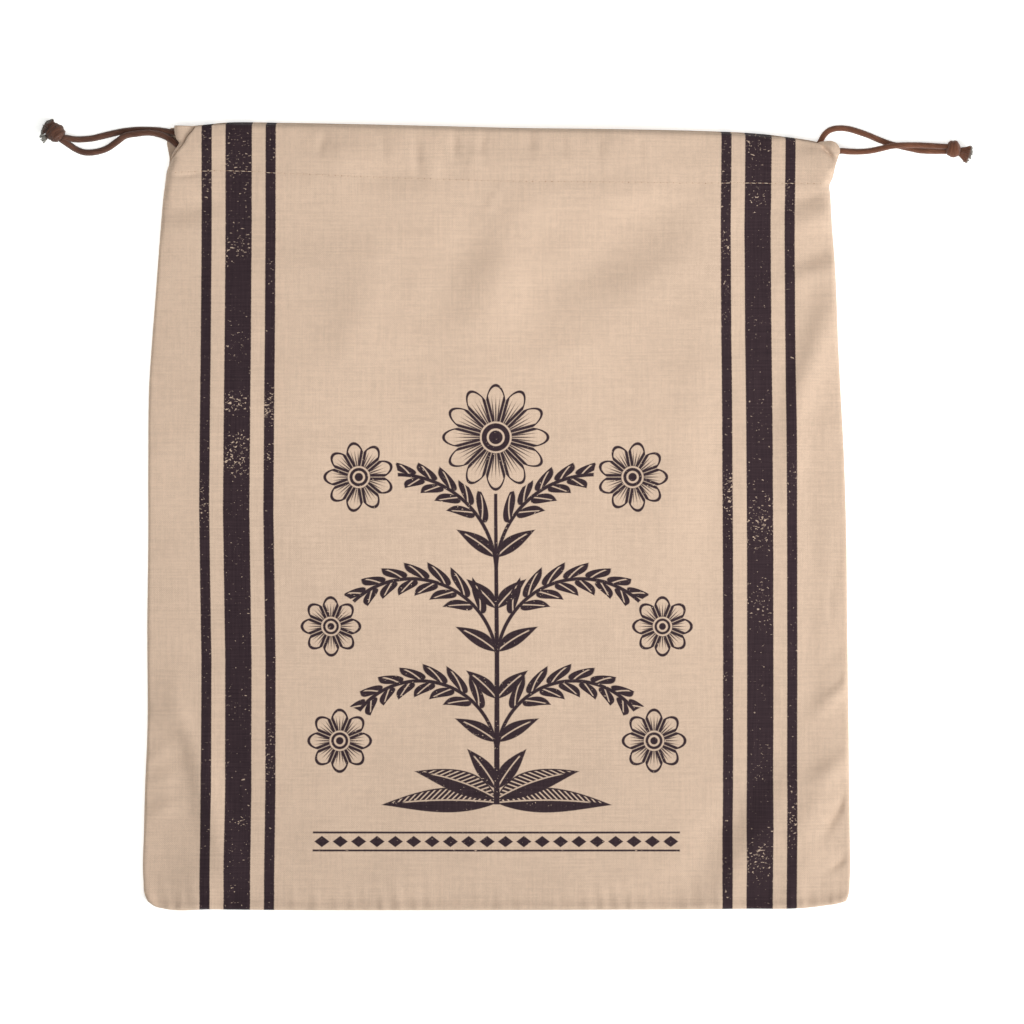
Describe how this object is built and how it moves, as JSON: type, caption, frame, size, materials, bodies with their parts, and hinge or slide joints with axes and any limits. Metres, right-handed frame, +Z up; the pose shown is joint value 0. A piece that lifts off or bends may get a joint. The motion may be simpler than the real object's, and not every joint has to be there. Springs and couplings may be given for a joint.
{
  "type": "cotton bread bag",
  "caption": "Flat cotton bread bag lying on its back, with a stitched casing at its open mouth and a drawcord out of each side that ends in a knot with frayed ends.",
  "frame": {"origin": "middle of the bag's underside, on the surface it lies on, without the drawcords and their knots", "axes": "+X across the bag to the right as seen from above, +Y from the bottom seam to the open mouth, +Z up, away from the surface"},
  "size_m": [0.4756, 0.4044, 0.0162],
  "materials": {
    "front_cotton": "plain woven cotton, printed",
    "back_cotton": "plain woven cotton",
    "cord_cotton": "twisted cotton cord"
  },
  "bodies": {
    "root": {"front_panel": "front_cotton", "back_panel": "back_cotton", "drawcord_left": "cord_cotton", "drawcord_right": "cord_cotton", "knot_left": "cord_cotton", "knot_right": "cord_cotton"}
  },
  "joints": []
}
